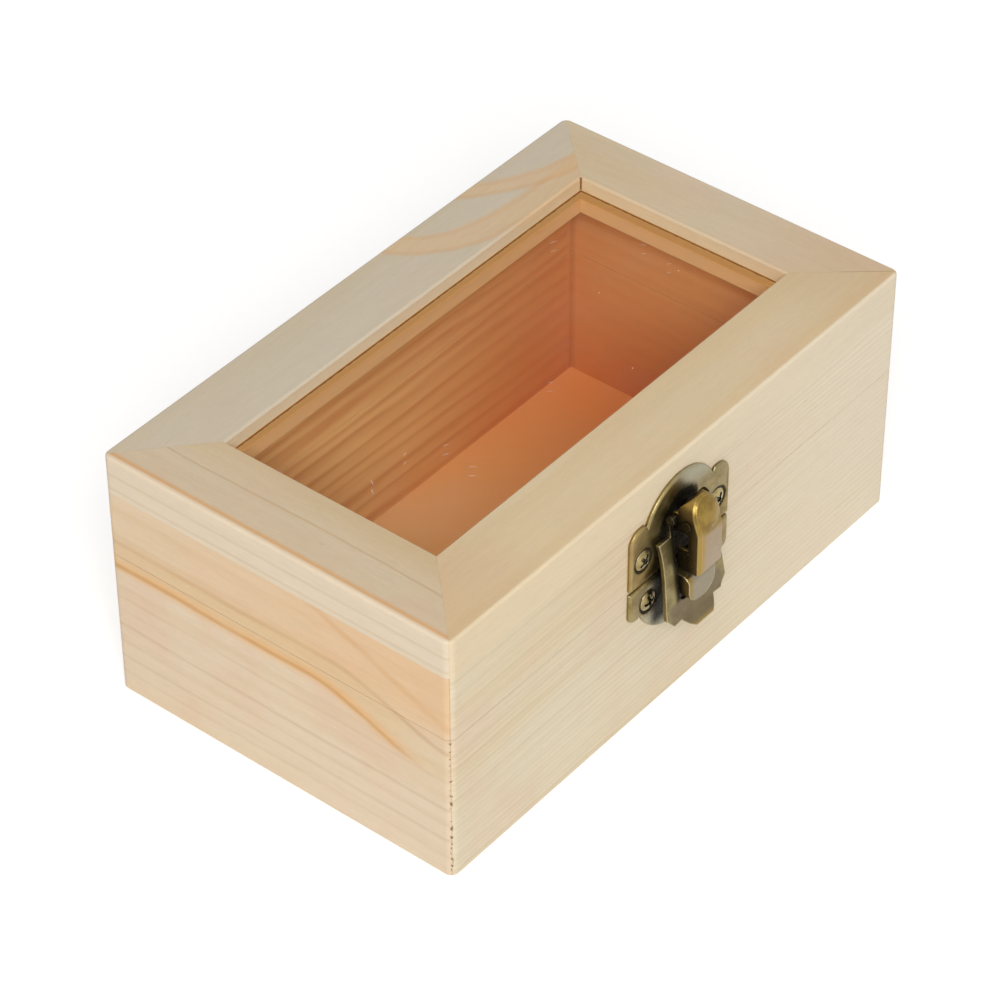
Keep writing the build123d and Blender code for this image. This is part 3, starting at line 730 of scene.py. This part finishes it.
def pane_material():
    """Clear sheet with dust, painted shadow along the rails, and a glowing part in the groove."""
    r = Recipe("clear_pane")
    clear_tone, dust_tone = (0.985, 0.975, 0.955, 1), (0.95, 0.9, 0.82, 1)
    clear = new_node(r.tree, "ShaderNodeBsdfTransparent", {"Color": clear_tone})
    mirror = new_node(r.tree, "ShaderNodeBsdfGlossy", {"Color": white_tone, "Roughness": 0.02})
    grazing = new_node(r.tree, "ShaderNodeLayerWeight", {"Blend": 0.5}).outputs["Facing"]
    mirror_share = r.scaled(r.calc("POWER", grazing, 5.0), 0.9, 0.004)
    sheet = blended(r.tree, mirror_share, clear, mirror)
    dust = new_node(r.tree, "ShaderNodeBsdfDiffuse", {"Color": dust_tone})
    dusty = blended(r.tree, dust_cover(r), sheet, dust)
    past = r.largest(*past_window(r))
    ragged = r.total(past, r.product(r.noise(0.8), 0.5))
    on_top = r.between(r.z, pane_top - 0.1, pane_top - 0.05)
    # Painted shadow: a brown line on the top face along the rails, the dark of the groove's gap.
    brown = new_node(r.tree, "ShaderNodeBsdfDiffuse", {"Color": tone("#8A5A2C")})
    gap_shadowed = blended(r.tree, r.product(r.between(ragged, -0.42, -0.22), on_top), dusty, brown)
    # Painted light: the part in the groove glows in the wood's tone.
    groove_glow = {"Color": tone("#C89C68"), "Strength": 1.0}
    wood = new_node(r.tree, "ShaderNodeEmission", groove_glow)
    return r.output(blended(r.tree, r.calc("GREATER_THAN", past, 0.02), gap_shadowed, wood))


paint("window_glass", pane_material())
pane_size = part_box("window_glass")[1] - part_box("window_glass")[0]
print("pane", [round(v / MM, 1) for v in pane_size], "mm")

# %% [markdown]
# ## Antique bronze
# The latch is stamped steel with a dark bronze finish that was rubbed off in a tumbler: bright on
# every edge and golden brown on the open faces. Its corners are near black, partly as patina and
# partly as painted shade, and painted shade and shadow lie beside the lever, behind the loop, on
# side faces and in the screw dishes. Some golden strips are painted highlights, and a cool patch is
# a painted reflection. The Bevel node rounds the normal near an edge, so the angle between it and
# the true normal is a mask of the rubbed edges, and Ambient Occlusion on the piece alone is a mask
# of its corners.

# %% Bronze recipe
latch_x = -2.2
front_face = -half_width
# Each plate's two screws: how far they are from the latch's middle, and above the seam.
upper_screws, lower_screws = (10.5, 5.6), (8.8, -4.8)


def bronze(name, body, brown, bright, roughness, edge, seed, patina=None):
    """Rubbed dark bronze. edge is the width of the rubbed line in millimetres."""
    r = Recipe(name)
    rounded = new_node(r.tree, "ShaderNodeBevel", {"Radius": edge * MM}, samples=6).outputs[0]
    true_normal = new_node(r.tree, "ShaderNodeNewGeometry").outputs["Normal"]
    worn = r.between(r.vector("DOT_PRODUCT", rounded, true_normal), 0.99, 0.88)
    clouds = r.noise(0.35, seed=seed)
    mottle = r.noise(1.6, detail=4.0, seed=seed + 1)
    grains = r.noise(7.0, seed=seed + 2)
    patches = r.between(r.total(clouds, r.product(mottle, 0.4)), -0.18, 0.2)
    colour = r.shade(r.mix(patches, body, brown), r.scaled(mottle, 0.35, 1.0))
    # Ambient Occlusion darkens the corners to near black: partly patina, partly painted shade.
    reach = {"Distance": 1.5 * MM}
    open_sky = new_node(r.tree, "ShaderNodeAmbientOcclusion", reach, samples=8, only_local=True)
    dark = r.between(open_sky.outputs["AO"], 0.35, 0.9, 0.9, 0.0)
    # The painter adds tones, painted highlights and reflections, and a mask of painted shade.
    if patina is not None:
        colour, placed_shade = patina(r, colour, mottle)
        dark = r.largest(dark, placed_shade)
    colour = r.mix(dark, colour, "#17110A")
    speck = r.product(r.between(grains, 0.12, 0.2), r.scaled(dark, 0.35, 0.12))
    colour = r.mix(speck, colour, bright)
    colour = r.mix(r.product(worn, r.scaled(dark, -0.82, 0.85)), colour, bright)
    rough = r.total(roughness, r.product(mottle, 0.25), r.product(dark, 0.2), r.product(worn, -0.1))
    normal = r.bump(r.total(r.product(grains, 0.5), mottle), 0.03, rounded)
    return r.finish(colour, rough, normal, Metallic=1.0)


def latch_place(r):
    """A point's place on the latch: to the right of its middle, and above the seam."""
    return r.minus(r.x, latch_x), r.minus(r.z, seam_height)


def dish_shade(r, across, up, screw_reach, screw_up):
    """Painted shade in the countersunk dishes of the two screws."""
    off_x = r.minus(r.absolute(across), screw_reach)
    off_z = r.minus(up, screw_up)
    return r.between(r.distance(off_x, off_z), 2.45, 2.75, 0.9, 0.0)


def beside_lever(r, colour, mottle):
    """The upper plate: painted shadow round the lever's head, a painted cool reflection, golden
    ears.
    """
    across, up = latch_place(r)
    # Painted shadow: near black round and beside the lever's head.
    past_head = r.largest(r.minus(up, 10.5), 0.0)
    reach = r.distance(across, past_head)
    beside = r.product(r.between(across, 0.0, -4.0), r.between(up, 14.0, 9.0))
    reach = r.total(reach, r.product(mottle, 2.4), r.product(beside, -2.0))
    dark = r.between(reach, 3.6, 5.2, 0.97, 0.0)
    dark = r.largest(dark, dish_shade(r, across, up, *upper_screws))
    # Painted reflection: a cool grey sheen on the upper right of the plate.
    cool = r.product(r.between(up, 11.0, 16.0), r.between(across, -4.0, 2.0))
    colour = r.mix(r.product(cool, 0.65), colour, "#A3A190")
    golden = r.between(across, -8.0, -12.5)
    return r.mix(r.product(golden, 0.5), colour, "#A98C55"), dark


def under_loop(r, colour, mottle):
    """The lower plate: painted shadow behind the loop, a cool lower edge, a pale tongue, shaded
    sides.
    """
    across, up = latch_place(r)
    aside = r.absolute(across)
    on_plate = r.between(r.y, front_face - 1.6, front_face - 1.0)
    # Painted shadow: near black on the plate behind and under the loop.
    reach = r.total(aside, r.product(mottle, 1.5))
    dark = r.product(r.between(reach, 6.5, 9.2, 0.97, 0.0), on_plate, r.between(up, -13.5, -10.0))
    dark = r.largest(dark, r.product(dish_shade(r, across, up, *lower_screws), on_plate))
    colour = r.mix(r.product(r.between(up, -6.0, -9.0), on_plate, 0.6), colour, "#A5A695")
    front = r.product(r.between(r.y, front_face - 3.0, front_face - 4.5), 0.85)
    colour = r.mix(front, colour, "#8F8673")
    left_edge = r.product(r.between(across, -2.2, -3.0), front)
    colour = r.mix(left_edge, colour, "#957A3A")
    # Painted shade: the tongue's side faces, picked by their normal, go dark.
    cheek = r.product(r.between(r.absolute(r.facing[0]), 0.6, 0.85), r.between(aside, 6.0, 5.0))
    cheek = r.product(cheek, r.between(r.y, front_face - 5.2, front_face - 3.8, 0.15, 0.95))
    return colour, r.largest(dark, cheek)


def lever_patina_and_painted_light(r, colour, mottle):
    """The lever: golden head, rosy grey bill with a painted highlight on its left edge, shaded
    cheeks.
    """
    across, up = latch_place(r)
    on_bill = r.between(up, 9.6, 8.4)
    colour = r.mix(r.product(on_bill, 0.85), colour, "#A3917C")
    # Painted highlight: a golden strip on the bill's rounded left edge.
    golden = r.product(r.between(across, -1.2, -2.6), on_bill, 0.9)
    colour = r.mix(golden, colour, "#A38748")
    # Painted shade: side faces, picked by their normal, go darker brown, near black below the head.
    cheek = r.between(r.absolute(r.facing[0]), 0.75, 0.95)
    colour = r.mix(r.product(cheek, 0.8), colour, "#6A5A38")
    below_head = r.between(up, 12.5, 10.5), r.between(r.y, front_face - 7.0, front_face - 5.0)
    return colour, r.product(cheek, r.scaled(r.product(*below_head), 0.55, 0.38))


def loop_patina_and_painted_light(r, colour, mottle):
    """The loop: painted shade on inner edges and eyes, rosy brown on the bar, a highlighted lip."""
    across, up = latch_place(r)
    aside = r.absolute(across)
    on_bar = r.product(r.between(up, -5.0, -6.5), r.between(aside, 7.8, 6.5))
    colour = r.mix(r.product(on_bar, 0.8), colour, "#746650")
    # Painted highlight: a golden band along the lower lip.
    lip = r.between(r.total(up, r.product(mottle, 0.6)), -10.8, -11.9)
    colour = r.mix(r.product(lip, 0.8), colour, "#AE9048")
    # Painted shade: near black on the window's inner edges and on the eyes by the lever.
    inner_edge = r.product(r.between(aside, 5.9, 4.6), r.between(up, -6.4, -5.2), 0.95)
    eyes = r.product(r.between(up, 7.5, 9.5), r.between(aside, 6.5, 5.0))
    return colour, r.largest(inner_edge, r.product(eyes, 0.95))


# The tones are the body's, its browner patches' and the rubbed edges'. After them come the
# roughness, the width of the rubbed edge and the seed.
upper_tones = ("#9A8A5C", "#7D6A3E", "#E6DAB4")
plate_bronze = bronze("bronze_plate", *upper_tones, 0.38, 0.28, 1.0, beside_lever)
catch_bronze = bronze("bronze_catch", "#9A8A5A", "#7F6A3A", "#EBE2C4", 0.38, 0.28, 1.5, under_loop)
lever_bronze = bronze("bronze_lever", "#9E8448", "#836A34", "#CBB47A", 0.36, 0.3, 2.0, lever_patina_and_painted_light)
loop_bronze = bronze("bronze_loop", "#93875E", "#776942", "#D8CBA2", 0.38, 0.28, 3.0, loop_patina_and_painted_light)
# The pins' near-black body is painted shade, as the lever's pins sit in shade.
pin_bronze_painted_shade = bronze("bronze_pin", "#4A3E28", "#38301F", "#7C6C48", 0.4, 0.1, 4.0)
screw_bronze = bronze("bronze_screw", "#B3A170", "#86744A", "#F0E8C8", 0.32, 0.12, 5.0)
hinge_bronze = bronze("bronze_hinge", "#9C8752", "#74602F", "#DFCE96", 0.38, 0.2, 6.0)
print("bronze finishes", [m.name for m in bpy.data.materials if m.name.startswith("bronze")])

# %% [markdown]
# ## Softer stampings
# The CAD solids have knife-sharp arrises, and no stamping has. A copy of each node is merged into
# one skin, its flat faces are joined up again, and a Bevel modifier rounds whatever meets at a
# clear angle. The copy then stands for the node.

# %% Softened copies of the latch pieces
arris_width = 0.08 * MM
clear_angle = math.radians(32.0)
flat_angle = math.radians(1.0)
merge_distance = 1e-6


def softened(node_name, piece_name, material, body):
    """A copy of a CAD node with small round arrises, riding where the node rides."""
    work = bmesh.new()
    work.from_mesh(nodes[node_name].data)
    bmesh.ops.remove_doubles(work, verts=work.verts, dist=merge_distance)
    bmesh.ops.dissolve_limit(work, angle_limit=flat_angle, verts=work.verts, edges=work.edges)
    mesh = bpy.data.meshes.new(piece_name)
    work.to_mesh(mesh)
    work.free()
    piece = bpy.data.objects.new(piece_name, mesh)
    scene.collection.objects.link(piece)
    rounding = piece.modifiers.new("rounding", "BEVEL")
    rounding.width = arris_width
    rounding.segments = 2
    rounding.limit_method = "ANGLE"
    rounding.angle_limit = clear_angle
    mesh.materials.clear()
    mesh.materials.append(material)
    for face in mesh.polygons:
        face.use_smooth = True
    mesh.set_sharp_from_angle(angle=clear_angle)
    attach(piece, body)
    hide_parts(node_name)
    print(piece_name, len(mesh.polygons), "faces before rounding")


softened("latch_upper_plate", "upper_plate", plate_bronze, "lid")
softened("latch_lower_plate", "lower_plate", catch_bronze, "case")
softened("latch_lever", "lever", lever_bronze, "lever")
softened("latch_loop", "loop", loop_bronze, "loop")
paint("latch_lever_pin", pin_bronze_painted_shade)
paint("latch_loop_pins", pin_bronze_painted_shade)

# %% [markdown]
# ## Screws
# Twelve small screws with a cross recess. One Geometry Nodes tree makes them all: a sphere cut by
# a cylinder gives the domed head, two bars cut the cross, and the head is put on every point of a
# row, turned by a random but fixed angle, as nobody lines up screws. Realize Instances turns the
# result into plain mesh.

# %% Screw tree
screw_inputs = {
    "NodeSocketFloat": (
        "Head radius", "Dome radius", "Head height", "Slot length", "Slot width", "Slot depth"
    ),
    "NodeSocketInt": ("Groups", "Screws", "Seed"),
    "NodeSocketVector": ("Start", "Group step", "Screw step", "Tilt"),
    "NodeSocketMaterial": ("Material",),
}


def screw_tree():
    """Rows of domed cross-recess heads, with the outward direction along Z of each head."""
    tree = bpy.data.node_groups.new("cross_recess_screws", "GeometryNodeTree")
    tree.interface.new_socket("Geometry", in_out="OUTPUT", socket_type="NodeSocketGeometry")
    for socket_type, labels in screw_inputs.items():
        for label in labels:
            tree.interface.new_socket(label, in_out="INPUT", socket_type=socket_type)
    given = new_node(tree, "NodeGroupInput").outputs

    def add(kind, sockets, **settings):
        return new_node(tree, "GeometryNode" + kind, sockets, **settings)

    def calc(operation, first, second):
        sockets = {0: first, 1: second}
        return new_node(tree, "ShaderNodeMath", sockets, operation=operation).outputs[0]

    def move(geometry, up):
        shift = new_node(tree, "ShaderNodeCombineXYZ", {"Z": up}).outputs[0]
        return add("Transform", {"Geometry": geometry, "Translation": shift}).outputs[0]

    head_height = given["Head height"]
    ball = add("MeshUVSphere", {"Segments": 48, "Rings": 96, "Radius": given["Dome radius"]})
    sunk = calc("SUBTRACT", head_height, given["Dome radius"])
    core_depth = calc("MULTIPLY", head_height, 4.0)
    core_sockets = {"Vertices": 40, "Radius": given["Head radius"], "Depth": core_depth}
    core = add("MeshCylinder", core_sockets)
    dome_sockets = {"Mesh 2": move(ball.outputs[0], sunk)}
    dome = add("MeshBoolean", dome_sockets, operation="INTERSECT", solver="EXACT")
    tree.links.new(core.outputs[0], dome.inputs["Mesh 2"])
    bar_height = calc("MULTIPLY", given["Slot depth"], 2.0)
    bars = []
    for first, second in (("Slot length", "Slot width"), ("Slot width", "Slot length")):
        sides = {"X": given[first], "Y": given[second], "Z": bar_height}
        size = new_node(tree, "ShaderNodeCombineXYZ", sides)
        bars.append(move(add("MeshCube", {"Size": size.outputs[0]}).outputs[0], head_height))
    cross = add("MeshBoolean", {"Mesh 1": dome.outputs[0], "Mesh 2": bars[0]}, solver="EXACT")
    tree.links.new(bars[1], cross.inputs["Mesh 2"])
    group_line = {"Count": given["Groups"], "Offset": given["Group step"]}
    groups = add("MeshLine", {"Start Location": given["Start"], **group_line})
    row = add("MeshLine", {"Count": given["Screws"], "Offset": given["Screw step"]})
    rows = add("InstanceOnPoints", {"Points": groups.outputs[0], "Instance": row.outputs[0]})
    points = add("RealizeInstances", {0: rows.outputs[0]})
    head = {"Instance": cross.outputs[0], "Rotation": given["Tilt"]}
    heads = add("InstanceOnPoints", {"Points": points.outputs[0], **head})
    any_turn = {"Max": (0, 0, math.pi), "Seed": given["Seed"]}
    spin = new_node(tree, "FunctionNodeRandomValue", any_turn, data_type="FLOAT_VECTOR").outputs[0]
    turned = add("RotateInstances", {"Instances": heads.outputs[0], "Rotation": spin})
    real = add("RealizeInstances", {0: turned.outputs[0]})
    dressed = add("SetMaterial", {"Geometry": real.outputs[0], "Material": given["Material"]})
    new_node(tree, "NodeGroupOutput", {0: dressed.outputs[0]})
    return tree


def grown(piece_name, tree, values, body, slot, *replaced):
    """Runs a tree with named inputs and keeps the result as a plain mesh piece."""
    seedling_name = piece_name + "_seedling"
    seedling = bpy.data.objects.new(seedling_name, bpy.data.meshes.new(seedling_name))
    scene.collection.objects.link(seedling)
    modifier = seedling.modifiers.new("grow", "NODES")
    modifier.node_group = tree
    inputs = [item for item in tree.interface.items_tree if item.in_out == "INPUT"]
    codes = {item.name: item.identifier for item in inputs}
    for label, value in values.items():
        modifier[codes[label]] = value
    evaluated = seedling.evaluated_get(bpy.context.evaluated_depsgraph_get())
    grown_mesh = bpy.data.meshes.new_from_object(evaluated)
    grown_mesh.name = piece_name
    bpy.data.objects.remove(seedling)
    for face in grown_mesh.polygons:
        face.use_smooth = True
    grown_mesh.set_sharp_from_angle(angle=math.radians(30.0))
    piece = bpy.data.objects.new(piece_name, grown_mesh)
    scene.collection.objects.link(piece)
    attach(piece, body)
    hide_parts(*replaced)
    print(piece_name, len(grown_mesh.polygons), "faces")


screws = screw_tree()
print("screw tree with", len(screws.nodes), "nodes")

# %% [markdown]
# ## Where the screws sit
# Each plate of the latch has two screws, and so has each leaf of a hinge. A row starts at its
# first screw, on the outer face of the metal, and Tilt points the heads away from the board. The
# tree repeats the row for the second hinge.

# %% Place the screws
metal_thickness = 0.8
metal_out = half_width + metal_thickness
hinge_reach = 38.0
hinge_screw_reach = 5.5
latch_head = {
    "Head radius": 2.0 * MM,
    "Dome radius": 3.4 * MM,
    "Head height": 0.5 * MM,
    "Slot length": 2.7 * MM,
    "Slot width": 0.8 * MM,
    "Slot depth": 0.8 * MM,
    "Groups": 1,
    "Screws": 2,
    "Group step": (0.0, 0.0, 0.0),
    "Tilt": (math.radians(90.0), 0.0, 0.0),
    "Material": screw_bronze,
}
hinge_head = {
    **latch_head,
    "Head radius": 1.7 * MM,
    "Dome radius": 2.6 * MM,
    "Head height": 0.62 * MM,
    "Slot length": 1.8 * MM,
    "Slot width": 0.45 * MM,
    "Groups": 2,
    "Group step": (2 * hinge_reach * MM, 0.0, 0.0),
    "Tilt": (math.radians(-90.0), 0.0, 0.0),
}
# Each row: its name, body and kind of head, the middle of the first group, how far the screws
# are from it, how far above the seam, and the seed of their turns.
for name, body, head, middle, y, reach, up, seed in (
    ("upper_plate", "lid", latch_head, latch_x, -metal_out, *upper_screws, 3),
    ("lower_plate", "case", latch_head, latch_x, -metal_out, *lower_screws, 8),
    ("hinge_lid", "lid", hinge_head, -hinge_reach, metal_out, hinge_screw_reach, 5.8, 5),
    ("hinge_case", "case", hinge_head, -hinge_reach, metal_out, hinge_screw_reach, -5.8, 12),
):
    values = dict(head, Seed=seed)
    values["Start"] = Vector((middle - reach, y, seam_height + up)) * MM
    values["Screw step"] = (2 * reach * MM, 0.0, 0.0)
    grown(name + "_screw_heads", screws, values, body, "bronze_screw", name + "_screws")

# %% [markdown]
# ## Hinges
# Two plain butt hinges hold the lid at the back. The CAD leaves and pins have the right shape, so
# they only get the finish.

# %% Hinges
for side in ("left", "right"):
    paint(side + "_hinge_pin", pin_bronze_painted_shade)
    for leaf in ("_hinge_case_leaf", "_hinge_lid_leaf"):
        paint(side + leaf, hinge_bronze)
print("hinges painted")
